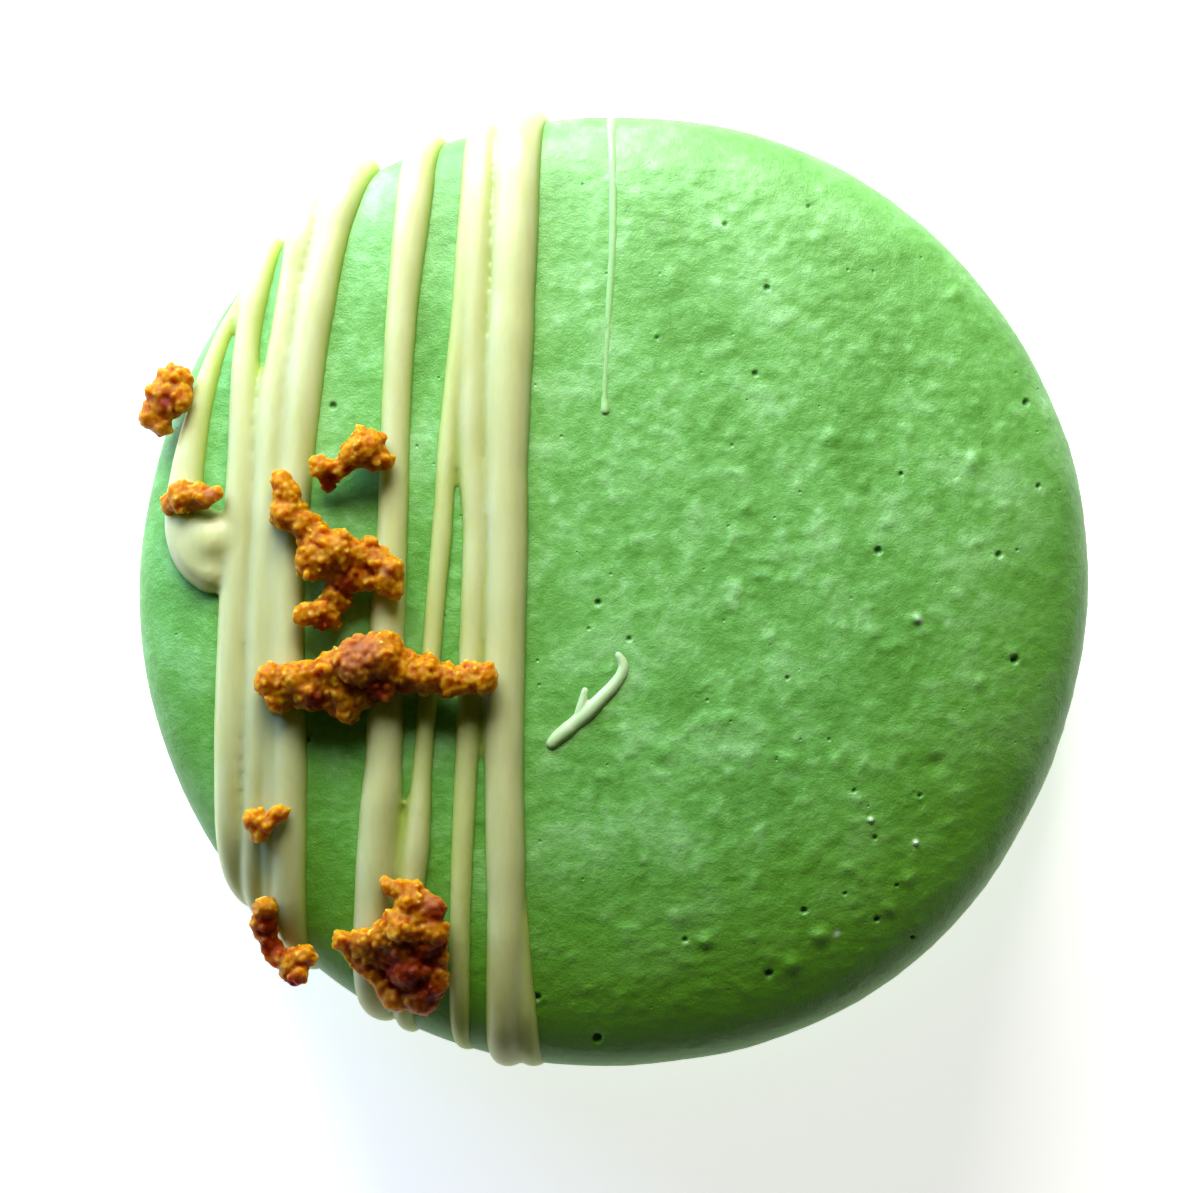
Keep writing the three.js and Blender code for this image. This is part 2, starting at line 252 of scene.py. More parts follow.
def makeGrain():
    # fine uneven grain: coarse and fine noise, mixed by the share Fine
    tree, given, height, perMetre = startGroup('grain', ('Size', 'Fine'), 'Height')
    link = tree.links.new
    coarse = addNode(tree, 'ShaderNodeTexNoise', Detail=2.0, Roughness=0.5)
    link(given['Place'], coarse.inputs['Vector'])
    link(perMetre, coarse.inputs['Scale'])
    finer = addNode(tree, 'ShaderNodeMath', operation='MULTIPLY')
    finer.inputs[1].default_value = 3.7      # times finer than the coarse noise
    link(perMetre, finer.inputs[0])
    fine = addNode(tree, 'ShaderNodeTexNoise', Detail=3.0, Roughness=0.6)
    link(given['Place'], fine.inputs['Vector'])
    link(finer.outputs[0], fine.inputs['Scale'])
    mix = addNode(tree, 'ShaderNodeMix', data_type='FLOAT')
    link(given['Fine'], mix.inputs['Factor'])
    link(coarse.outputs['Fac'], mix.inputs['A'])
    link(fine.outputs['Fac'], mix.inputs['B'])
    link(mix.outputs['Result'], height)
    return tree


def makeDots():
    # small round dots scattered at random, up to Width across: 1 in a dot and 0 outside
    tree, given, mask, perMetre = startGroup('dots', ('Spacing', 'Width'), 'Mask')
    link = tree.links.new
    cells = addNode(tree, 'ShaderNodeTexVoronoi')
    link(given['Place'], cells.inputs['Vector'])
    link(perMetre, cells.inputs['Scale'])
    share = addNode(tree, 'ShaderNodeMath', operation='DIVIDE')
    link(given['Width'], share.inputs[0])
    link(given['Spacing'], share.inputs[1])
    chance = addNode(tree, 'ShaderNodeSeparateColor')
    link(cells.outputs['Color'], chance.inputs['Color'])
    reach = addNode(tree, 'ShaderNodeMath', operation='MULTIPLY')
    link(share.outputs[0], reach.inputs[0])
    link(chance.outputs['Red'], reach.inputs[1])
    inside = addNode(tree, 'ShaderNodeMapRange', interpolation_type='SMOOTHSTEP')
    inside.inputs['To Min'].default_value = 1.0
    inside.inputs['To Max'].default_value = 0.0
    link(cells.outputs['Distance'], inside.inputs['Value'])
    link(reach.outputs[0], inside.inputs['From Max'])
    link(inside.outputs['Result'], mask)
    return tree


grain = makeGrain()
dots = makeDots()


def useGroup(tree, group, place, **values):
    node = addNode(tree, 'ShaderNodeGroup', node_tree=group)
    tree.links.new(place, node.inputs['Place'])
    for key, value in values.items():
        node.inputs[key].default_value = value
    return node.outputs[0]


def useRamp(tree, value, stops):
    node = addNode(tree, 'ShaderNodeValToRGB')
    elements = node.color_ramp.elements
    while len(elements) < len(stops):
        elements.new(0.5)
    for element, (position, colour) in zip(elements, stops):
        element.position = position
        element.color = (*colour, 1)
    tree.links.new(value, node.inputs['Fac'])
    return node.outputs['Color']


def mixColours(tree, factor, a, b, blend='MIX'):
    node = addNode(tree, 'ShaderNodeMix', data_type='RGBA', blend_type=blend)
    for socket, value in ((node.inputs[0], factor), (node.inputs[6], a), (node.inputs[7], b)):
        if isinstance(value, (int, float)):
            socket.default_value = value
        elif isinstance(value, tuple):
            socket.default_value = (*value, 1)
        else:
            tree.links.new(value, socket)
    return node.outputs[2]


def calculate(tree, operation, a, b=0.0):
    node = addNode(tree, 'ShaderNodeMath', operation=operation)
    for socket, value in zip(node.inputs, (a, b)):
        if isinstance(value, (int, float)):
            socket.default_value = value
        else:
            tree.links.new(value, socket)
    return node.outputs[0]


def painted(tree, name):
    # a value that was painted on the points of the piece
    return addNode(tree, 'ShaderNodeAttribute', attribute_name=name).outputs['Fac']


def newMaterial(name, **settings):
    material = bpy.data.materials.new(name)
    material.use_nodes = True
    tree = material.node_tree
    shader = tree.nodes['Principled BSDF']
    for key, value in settings.items():
        shader.inputs[key].default_value = value
    place = addNode(tree, 'ShaderNodeTexCoord').outputs['Object']
    return material, tree, shader, place


def addBump(tree, shader, height, strength, depth):
    bump = addNode(tree, 'ShaderNodeBump', Strength=strength, Distance=depth * mm)
    tree.links.new(height, bump.inputs['Height'])
    tree.links.new(bump.outputs['Normal'], shader.inputs['Normal'])


# in each look, tones run from hollows to crests, bump is a strength and a depth in mm, and shader
# goes to the shader as it is
crustLook = {
    'tones': [(0.3, (0.08, 0.3, 0.024)), (0.5, (0.125, 0.405, 0.06)), (0.72, (0.23, 0.54, 0.165))],
    'mottle': {'Size': 2.2, 'Fine': 0.35},
    'raisedPalerShade': 2.4,                # paler for each mm that the crust stands up, darker where it sinks: painted highlight on tops, painted shade in dents and foot bubbles
    'speckle': {'Size': 0.42, 'Fine': 0.4},
    'speckleTones': [(0.33, (0.86, 0.9, 0.75)), (0.55, (1.0, 1.0, 1.0)), (0.72, (1.25, 1.12, 1.5))],
    'baked': (0.09, 0.29, 0.002),      # the olive edge: a little oven browning all round, and painted shade on the side turned from the light
    # painted shade inside the holes
    'pit': (0.02, 0.17, 0.02),
    'tinyHoles': {'Spacing': 1.2, 'Width': 0.15},
    'tinyHoleShade': 0.6,
    'sugar': (0.8, 0.92, 0.78),
    'bumpGrain': {'Size': 0.38, 'Fine': 0.4},
    'bump': (0.5, 0.14),
    'shader': {'Roughness': 0.52, 'Subsurface Weight': 0.2, 'Subsurface Radius': (0.6, 1.0, 0.35),
               'Subsurface Scale': 0.9 * mm, 'Specular IOR Level': 0.7},
}


def makeCrustMaterial():
    material, tree, shader, place = newMaterial('greenCrust', **crustLook['shader'])
    mottle = useGroup(tree, grain, place, **crustLook['mottle'])
    # painted highlight on the raised crust and painted shade in its dents
    raised = calculate(tree, 'MULTIPLY', painted(tree, 'raised'), crustLook['raisedPalerShade'])
    colour = useRamp(tree, calculate(tree, 'ADD', mottle, raised), crustLook['tones'])
    speckle = useGroup(tree, grain, place, **crustLook['speckle'])
    speckled = useRamp(tree, speckle, crustLook['speckleTones'])
    colour = mixColours(tree, 1.0, colour, speckled, 'MULTIPLY')
    # painted shade: the olive edge, darkest on the side turned away from the light
    colour = mixColours(tree, painted(tree, 'baked'), colour, crustLook['baked'])
    tinyHoles = useGroup(tree, dots, place, **crustLook['tinyHoles'])
    # painted shade in the tiny holes and the pinholes
    shadedHoles = calculate(tree, 'MULTIPLY', tinyHoles, crustLook['tinyHoleShade'])
    holes = calculate(tree, 'MAXIMUM', shadedHoles, painted(tree, 'pinhole'))
    colour = mixColours(tree, holes, colour, crustLook['pit'])
    colour = mixColours(tree, painted(tree, 'sugar'), colour, crustLook['sugar'])
    tree.links.new(colour, shader.inputs['Base Color'])
    fine = useGroup(tree, grain, place, **crustLook['bumpGrain'])
    addBump(tree, shader, calculate(tree, 'SUBTRACT', fine, tinyHoles), *crustLook['bump'])
    return material


chocolateLook = {
    'tones': [(0.3, (0.46, 0.5, 0.2)), (0.5, (0.49, 0.535, 0.245)), (0.7, (0.52, 0.57, 0.29))],
    'edge': (0.36, 0.5, 0.05),      # greener and darker where it runs out thin over the shell: the green showing through, and painted shade at the foot of the strands
    'streak': {'Size': 0.9, 'Fine': 0.25},
    'streakSquash': (1, 0.18, 1),   # draws the streaks out along the strands
    'bumpGrain': {'Size': 0.8, 'Fine': 0.35},
    'bump': (0.2, 0.08),
    'shader': {'Roughness': 0.4, 'Subsurface Weight': 0.7, 'Subsurface Radius': (1.0, 0.9, 0.3),
               'Subsurface Scale': 1.6 * mm, 'Specular IOR Level': 0.4},
}


def makeChocolateMaterial():
    material, tree, shader, place = newMaterial('whiteChocolate', **chocolateLook['shader'])
    squash = addNode(tree, 'ShaderNodeMapping')
    squash.inputs['Scale'].default_value = chocolateLook['streakSquash']
    tree.links.new(place, squash.inputs['Vector'])
    streak = useGroup(tree, grain, squash.outputs['Vector'], **chocolateLook['streak'])
    colour = useRamp(tree, streak, chocolateLook['tones'])
    # painted shade along the foot of the strands, with the green that shows through thin chocolate
    colour = mixColours(tree, painted(tree, 'thin'), colour, chocolateLook['edge'])
    tree.links.new(colour, shader.inputs['Base Color'])
    soft = useGroup(tree, grain, place, **chocolateLook['bumpGrain'])
    addBump(tree, shader, soft, *chocolateLook['bump'])
    return material


threadLook = {
    'tones': [(0.0, (0.47, 0.62, 0.34)), (1.0, (0.27, 0.54, 0.18))],      # from thick to thin
    'patchy': {'Size': 0.7, 'Fine': 0.3},
    'bump': (0.3, 0.06),
    'shader': {'Roughness': 0.42, 'Subsurface Weight': 0.3, 'Subsurface Radius': (0.8, 1.0, 0.4),
               'Subsurface Scale': 0.6 * mm, 'Specular IOR Level': 0.4},
}


def makeThreadMaterial():
    material, tree, shader, place = newMaterial('thinChocolate', **threadLook['shader'])
    patchy = useGroup(tree, grain, place, **threadLook['patchy'])
    share = calculate(tree, 'ADD', painted(tree, 'thin'), calculate(tree, 'SUBTRACT', patchy, 0.5))
    colour = useRamp(tree, share, threadLook['tones'])
    tree.links.new(colour, shader.inputs['Base Color'])
    addBump(tree, shader, patchy, *threadLook['bump'])
    return material


creamLook = {
    'tones': [(0.3, (0.6, 0.51, 0.27)), (0.5, (0.7, 0.62, 0.38)), (0.7, (0.76, 0.7, 0.49))],
    'mottle': {'Size': 1.6, 'Fine': 0.4},
    'bumpGrain': {'Size': 0.6, 'Fine': 0.5},
    'bump': (0.4, 0.1),
    'shader': {'Roughness': 0.42, 'Subsurface Weight': 0.35, 'Subsurface Radius': (1.0, 0.8, 0.4),
               'Subsurface Scale': 1.2 * mm},
}


def makeCreamMaterial():
    material, tree, shader, place = newMaterial('creamFilling', **creamLook['shader'])
    mottle = useGroup(tree, grain, place, **creamLook['mottle'])
    tree.links.new(useRamp(tree, mottle, creamLook['tones']), shader.inputs['Base Color'])
    soft = useGroup(tree, grain, place, **creamLook['bumpGrain'])
    addBump(tree, shader, soft, *creamLook['bump'])
    return material


crumbLook = {
    # tones run from painted shade in hollows to a painted highlight on the crests
    'tones': [(0.1, (0.32, 0.05, 0.0002)), (0.36, (0.37, 0.122, 0.0004)), (0.58, (0.4, 0.175, 0.0008)),
              (0.82, (0.43, 0.23, 0.006)), (1.0, (0.56, 0.4, 0.14))],
    # darker red-brown for the patches, most on the sides of the crumbs towards -Y
    'darkRedPatch': (0.17, 0.002, 0.0001),
    'dusty': (0.3, 0.1, 0.025),
    'toasting': {'Size': 0.7, 'Fine': 0.45},
    'toastingSwing': 1.5,           # how far it moves the tone
    'crystalWidth': 0.34,
    'crystalSwing': 0.3,
    'bumpGrain': {'Size': 0.13, 'Fine': 0.35},
    'bump': (0.7, 0.06),
    'shader': {'Roughness': 0.42, 'Subsurface Weight': 1.0, 'Subsurface Radius': (1.0, 0.55, 0.08),
               'Subsurface Scale': 1.6 * mm, 'Specular IOR Level': 0.1},
}


def makeCrumbMaterial():
    material, tree, shader, place = newMaterial('toastedCrumb', **crumbLook['shader'])

    def swing(value, width):
        return calculate(tree, 'MULTIPLY', calculate(tree, 'SUBTRACT', value, 0.5), width)

    toasting = useGroup(tree, grain, place, **crumbLook['toasting'])
    crystals = addNode(tree, 'ShaderNodeTexVoronoi', Scale=1 / (crumbLook['crystalWidth'] * mm))
    tree.links.new(place, crystals.inputs['Vector'])
    chance = addNode(tree, 'ShaderNodeSeparateColor')
    tree.links.new(crystals.outputs['Color'], chance.inputs['Color'])
    uneven = calculate(tree, 'ADD', swing(toasting, crumbLook['toastingSwing']),
                       swing(chance.outputs['Red'], crumbLook['crystalSwing']))
    # the crest value is painted shade in hollows and painted highlight on crests
    tone = calculate(tree, 'ADD', painted(tree, 'crest'), uneven)
    colour = useRamp(tree, tone, crumbLook['tones'])
    for name in ('darkRedPatch', 'dusty'):
        colour = mixColours(tree, painted(tree, name), colour, crumbLook[name])
    tree.links.new(colour, shader.inputs['Base Color'])
    fine = useGroup(tree, grain, place, **crumbLook['bumpGrain'])
    addBump(tree, shader, fine, *crumbLook['bump'])
    return material


crustMaterial = makeCrustMaterial()
chocolateMaterial = makeChocolateMaterial()
threadMaterial = makeThreadMaterial()
creamMaterial = makeCreamMaterial()
crumbMaterial = makeCrumbMaterial()
print('materials made')


frill = {
    'profile': [(22.6, 0), (23.1, 0.45), (23.2, 1.2), (23.1, 1.9), (22.8, 2.5)],     # radius, height
    'sides': 72,
    'turns': (180, 150, 120, 90, 80, 70, 60, 50, 40, 30, 20, 12, 5),    # from groove to crown
    'voxel': 0.215,
    'draftVoxel': 0.4,
    'swell': 0.12,          # makes up for what the subdivision draws in
    'footWaves': 0.5,       # share of the edge's waves that the foot has
    'flat': 22.4,           # lies plain in the cream inside this radius
    'rim': 1.4,             # width of the outer part of it that stays finely meshed
    'ruffle': 0.275,        # how far the frills stand out and in
    'ruffleWidth': 1.3,
    'ruffleHeight': 2.2,
    'curl': 0.6,            # share of the finer curls in them
    'curlWidth': 0.7,
    'bubble': 0.75,         # spacing of the open bubbles
    'bubbleReach': 0.5,
    'bubbleDepth': 0.4,
    'out': 0.12,
}

# open bubbles in the crust: x, y, width
pinholes = [
    (5.6, 18.3, 0.25), (7.7, 15.1, 0.32), (9.8, 19.2, 0.2), (7.1, 10.8, 0.3), (20.7, 9.4, 0.36),
    (21.3, 5.2, 0.26), (14.4, 5.8, 0.24), (13.25, 1.95, 0.4), (19.3, 1.75, 0.34), (-0.75, -0.65, 0.34),
    (0.8, -2.45, 0.26), (20.1, -3.5, 0.42), (8.7, -4.4, 0.22), (-14.0, 9.2, 0.36), (-15.3, -7.5, 0.36),
    (12.05, -10.05, 0.22), (15.35, -10.3, 0.24), (13.1, -12.4, 0.22), (9.55, -16.05, 0.32),
    (13.2, -16.5, 0.32), (3.6, -17.5, 0.26), (7.8, -19.2, 0.42), (-3.8, -20.4, 0.4), (-0.8, -22.45, 0.5),
    (15.0, -17.4, 0.24), (14.2, -14.8, 0.2), (11.6, -15.2, 0.2), (-5.3, 18.6, 0.2), (2.2, 12.6, 0.2),
]
# dents with soft edges and grains that stand up: x, y, width, height
spots = [
    (16.1, -8.7, 1.3, -0.16), (4.7, -6.5, 1.1, 0.1), (5.7, -6.4, 1.2, 0.12), (15.2, -1.45, 0.7, 0.24),
    (10.4, -17.3, 0.9, 0.2), (8.9, -18.7, 1.1, 0.18), (4.6, -17.6, 0.8, 0.18),
    (15.15, -12.65, 0.35, 0.2), (12.9, -11.5, 0.3, 0.16), (17.2, 14.8, 1.0, 0.16),
    (10.9, 7.6, 1.1, 0.14), (13.0, 7.6, 0.9, 0.12),
    (6.6, 4.1, 1.0, 0.12), (8.9, -8.6, 1.3, 0.14), (11.2, -8.4, 0.9, 0.12), (2.6, -8.1, 1.2, 0.12),
    (13.9, -16.0, 0.7, 0.12), (18.3, -4.6, 1.0, 0.12), (2.9, 15.6, 1.1, 0.12), (18.0, 6.4, 1.2, 0.14),
]
# x, y, width
sugarSpecks = [
    (15.15, -12.65, 0.3), (12.9, -11.5, 0.24), (-8.0, -17.4, 0.3), (15.3, -1.5, 0.35),
    (11.2, -17.2, 0.3),
]
marks = {
    'pitDepth': 0.5,        # share of a pinhole's width
    'pitShadeStrength': 0.85,
    'sugarWhite': 0.55,
}


def drawUp(rings, sides):
    # a disc is drawn up ring by ring, each a radius and a height; stays in edit mode, last face selected
    radius, height = rings[0]
    bpy.ops.mesh.primitive_circle_add(vertices=sides, radius=radius * mm, fill_type='NGON',
                                      location=(0, 0, height * mm))
    bpy.ops.object.transform_apply(location=True)
    bpy.ops.object.mode_set(mode='EDIT')
    for nextRadius, nextHeight in rings[1:]:
        up = (0, 0, (nextHeight - height) * mm)
        bpy.ops.mesh.extrude_region_move(TRANSFORM_OT_translate={'value': up})
        scale = nextRadius / radius
        bpy.ops.transform.resize(value=(scale, scale, 1), center_override=(0, 0, 0))
        radius, height = nextRadius, nextHeight
    return bpy.context.object


def faceOutwards():
    # ends edit mode with every face pointing out
    bpy.ops.mesh.select_all(action='SELECT')
    bpy.ops.mesh.normals_make_consistent(inside=False)
    bpy.ops.object.mode_set(mode='OBJECT')


def buildShell(name, crownFlat):
    # the flat underside is drawn up over the foot and the shoulder to the crown
    rings = list(frill['profile'])
    for degrees in frill['turns']:
        radius, height = shellSection(degrees / 180)
        if radius > crownFlat:
            rings.append((radius, height))
    if crownFlat:
        crown = sectionLine[:shoulderStep]
        rings.append((crownFlat, np.interp(crownFlat, crown[:, 0], crown[:, 1])))
    piece = drawUp(rings, frill['sides'])
    bpy.ops.mesh.inset(thickness=rings[-1][0] * 0.5 * mm)
    bpy.ops.mesh.poke()
    faceOutwards()
    places = pointsOf(piece)
    for place in places:
        radius = math.hypot(place[0], place[1])
        if radius > 0:
            inFoot = place[2] < shellForm['foot'] - 0.1
            share = radius / shellForm['radius'] * (frill['footWaves'] if inFoot else 1)
            wave = shellWave(math.atan2(place[1], place[0]))
            place[:2] *= 1 + (wave + frill['swell']) * share / radius
    setPoints(piece, places)
    applyModifier(piece, 'SUBSURF', levels=2, render_levels=2)
    remesh(piece, frill['voxel'])
    dissolveFlat(piece)
    print(name, 'drawn up,', len(piece.data.vertices), 'points')
    return piece


def dissolveFlat(piece):
    # the side that lies in the cream is never seen, so all of it but the rim is one face
    for face in piece.data.polygons:
        away = face.center.xy.length / mm
        face.select = face.center.z < 0.1 * mm and away < shellForm['footRadius'] - frill['rim']
    activate(piece)
    bpy.ops.object.mode_set(mode='EDIT')
    bpy.ops.mesh.dissolve_faces()
    bpy.ops.object.mode_set(mode='OBJECT')


def refineAround(piece, spotList, reach, cuts):
    # finer faces near each spot (x, y, width) on the upper side
    centres = np.empty(len(piece.data.polygons) * 3)
    piece.data.polygons.foreach_get('center', centres)
    centres = centres.reshape(-1, 3) / mm
    near = np.zeros(len(centres), dtype=bool)
    for x, y, width in spotList:
        near |= np.hypot(centres[:, 0] - x, centres[:, 1] - y) < width / 2 + reach
    near &= centres[:, 2] > upperBase + shellForm['shoulder']
    piece.data.polygons.foreach_set('select', near)
    activate(piece)
    bpy.ops.object.mode_set(mode='EDIT')
    bpy.ops.mesh.subdivide(number_cuts=cuts)
    bpy.ops.object.mode_set(mode='OBJECT')


# low relief of the crust, heights and widths in mm
crustRelief = {
    'swell': 0.07,
    'swellWidth': 4.5,
    'lumpWidth': 0.8,
    'fineWidth': 0.42,
    'fine': 0.7,            # share of the fine lumps beside the others
    'mound': 0.08,
    'moundFrom': 0.1,       # lumps higher than this are mounds
    'dent': 0.05,
    'dentFrom': 0.25,       # and those deeper than this dents
    'grain': 0.075,
    'grainSpacing': 1.25,
    'grainReach': (0.1, 0.26),      # share of the spacing: for the smallest, and what size adds
    'underDrizzle': 0.55,   # strength of the relief on the side with the drizzle
    'besideDrizzle': 0.6,   # what it gains away from it
    'gain': (-6, 10),       # from this x on, over so many mm
    'shoulderFade': 0.6,    # what it loses at the shoulder
    'fade': (20.5, 2.5),    # from this radius on, over so many mm
}


def clamped(value):
    return min(1.0, max(0.0, value))


def crustRise(p, seed, strength):
    # streaky mounds, dents and single round grains on broad swells
    q = p + Vector((seed, 0, 0))
    swell = crustRelief['swell'] * noise.noise(q / crustRelief['swellWidth'])
    streaked = Vector((q.x * 0.85 + q.y * 0.15, q.y * 1.1 - q.x * 0.18, q.z))
    fine = crustRelief['fine'] * noise.noise(streaked / crustRelief['fineWidth'])
    lumps = noise.noise(streaked / crustRelief['lumpWidth']) + fine
    mounds = max(0.0, lumps - crustRelief['moundFrom']) * crustRelief['mound']
    dents = max(0.0, -lumps - crustRelief['dentFrom']) * crustRelief['dent']
    distances, middles = noise.voronoi(q / crustRelief['grainSpacing'])
    size = noise.cell(middles[0] * 37.0)        # each grain has its own
    smallest, more = crustRelief['grainReach']
    grains = crustRelief['grain'] * size * max(0.0, 1 - (distances[0] / (smallest + more * size)) ** 2)
    return swell + (mounds - dents + grains) * strength


def footRise(p, seed):
    # frills with open bubbles round the foot
    q = p + Vector((seed, seed, 0))
    along = math.atan2(p.y, p.x) * shellForm['footRadius']
    ruffle = noise.noise(Vector((along / frill['ruffleWidth'], p.z / frill['ruffleHeight'], seed)))
    ruffle += frill['curl'] * noise.noise(q / frill['curlWidth'])
    bubble = max(0.0, 1 - noise.voronoi(q / frill['bubble'])[0][0] / frill['bubbleReach'])
    return frill['ruffle'] * ruffle - frill['bubbleDepth'] * bubble ** 0.7 + frill['out']


def reliefOf(base, seed, turned):
    # which relief a point gets; base is the level of the cream side, turned is -1 on the lower shell
    gainFrom, gainRun = crustRelief['gain']
    fadeFrom, fadeRun = crustRelief['fade']

    def rise(p, normal):
        height = (p.z - base) * turned
        radius = math.hypot(p.x, p.y)
        if height < 0.12 and radius < frill['flat']:
            return 0.0
        foot = clamped((shellForm['foot'] + 0.25 - height) / 0.6)      # 1 in the foot, 0 above it
        strength = 1.0
        if turned > 0:
            gained = crustRelief['besideDrizzle'] * clamped((p.x - gainFrom) / gainRun)
            strength = crustRelief['underDrizzle'] + gained
        strength *= 1 - crustRelief['shoulderFade'] * clamped((radius - fadeFrom) / fadeRun)
        move = crustRise(p, seed, strength) * (1 - foot)
        if foot > 0:
            move += footRise(p, seed) * foot
        return move

    return rise


def dentPinholes(piece):
    # pits and single bumps, and painted values: painted shade that darkens the pits, and white for the
    # sugar
    places, normals = pointsOf(piece), normalsOf(piece)
    crown = places[:, 2] > upperBase + shellForm['shoulder']
    moves, pitShade, white = np.zeros((3, len(places)))
    for x, y, width, height in spots:
        away = awayFrom(places, x, y, width / 2)
        moves += np.where(away < 1.6, height * np.exp(-2.2 * away ** 2), 0)
    for x, y, width in pinholes:
        away = awayFrom(places, x, y, width / 2)
        moves -= np.where(away < 2, width * marks['pitDepth'] * np.exp(-1.4 * away ** 4), 0)
        # painted shade inside each pinhole
        pitShade = np.maximum(pitShade, marks['pitShadeStrength'] * np.exp(-1.1 * away ** 3))
    for x, y, width in sugarSpecks:
        away = awayFrom(places, x, y, width / 2)
        white = np.maximum(white, marks['sugarWhite'] * np.exp(-(away ** 2)))
    setPoints(piece, places + normals * (moves * crown)[:, None])
    paint(piece, 'pinhole', pitShade * crown)
    paint(piece, 'sugar', white * crown)


# the olive edge: a little oven browning all round, and painted shade, strongest on the side turned away
# from the light
bakingAndShade = {
    'facing': -80,          # degrees: the side turned away from the light, where the painted shade is darkest
    'inner': 12,            # starts at this radius
    'run': 9,               # and is full so many mm further out
    'top': 9.4,             # ends at this height over the cream
    'fade': 1.2,
    # a small share all round for browning, then the share of painted shade on the side turned from the
    # light
    'allRound': 0.15,
    'oneSide': 0.9,
    'most': 0.92,
}


def bakedAndShadedEdge(piece, base, turned):
    # painted shade on the rim turned from the light, with a little browning all round
    places = pointsOf(piece)
    radius = np.hypot(places[:, 0], places[:, 1])
    height = (places[:, 2] - base) * turned
    toEdge = np.clip((radius - bakingAndShade['inner']) / bakingAndShade['run'], 0, 1)
    toEdge *= np.clip((bakingAndShade['top'] - height) / bakingAndShade['fade'], 0, 1)
    side = np.cos(np.arctan2(places[:, 1], places[:, 0]) - math.radians(bakingAndShade['facing']))
    share = toEdge * np.clip(bakingAndShade['allRound'] + bakingAndShade['oneSide'] * side, 0, 1)
    return np.clip(share, 0, bakingAndShade['most'])


topShell = buildShell('topShell', 0)
setPoints(topShell, pointsOf(topShell) + (0, 0, upperBase))
paint(topShell, 'raised', sculpt(topShell, reliefOf(upperBase, 3.0, 1)))
refineAround(topShell, pinholes + sugarSpecks, reach=0.25, cuts=2)
dentPinholes(topShell)
paint(topShell, 'baked', bakedAndShadedEdge(topShell, upperBase, 1))
finishPiece(topShell, 'topShell', crustMaterial, 'top_shell')
print('upper shell done,', len(topShell.data.vertices), 'points')

bottomShell = buildShell('bottomShell', 7.5)
activate(bottomShell)
bottomShell.rotation_euler = (math.pi, 0, 0)
bottomShell.location = (0, 0, lowerTop * mm)
bpy.ops.object.transform_apply(location=True, rotation=True, scale=True)
paint(bottomShell, 'raised', sculpt(bottomShell, reliefOf(lowerTop, 41.0, -1)))
setPoints(bottomShell, np.maximum(pointsOf(bottomShell), (-99, -99, 0)))      # rests flat
paint(bottomShell, 'pinhole', np.zeros(len(bottomShell.data.vertices)))
paint(bottomShell, 'baked', bakedAndShadedEdge(bottomShell, lowerTop, -1))
finishPiece(bottomShell, 'bottomShell', crustMaterial, 'bottom_shell')
print('lower shell done,', len(bottomShell.data.vertices), 'points')


cream = {
    'radius': 22.4,
    'sides': 72,
    'profile': [(-0.5, 0), (-0.1, 0.15), (0.2, 0.5), (-0.1, 0.85), (-0.5, 1)],     # out, share of height
    'into': 0.2,            # pressed into the shells
    'waves': [(2, 0.2, 150), (5, 0.22, 20), (9, 0.16, 33), (14, 0.1, 5)],
    'lumps': [(0.14, 1.4), (0.06, 0.5)],     # height, width
    'voxel': 0.3,
}


def buildCream():
    low, high = creamLow - cream['into'], creamHigh + cream['into']
    rings = [(cream['radius'] + out, low + share * (high - low)) for out, share in cream['profile']]
    piece = drawUp(rings, cream['sides'])
    faceOutwards()
    remesh(piece, cream['voxel'])

    def rise(p, normal):
        if abs(normal.z) > 0.9:      # flat against a shell
            return 0.0
        move = edgeWave(math.atan2(p.y, p.x), cream['waves'])
        for height, width in cream['lumps']:
            move += height * noise.noise(p / width)
        return move

    sculpt(piece, rise)
    applyModifier(piece, 'SMOOTH', factor=0.5, iterations=2)
    finishPiece(piece, 'creamFilling', creamMaterial, 'cream_filling')


buildCream()
print('cream done')


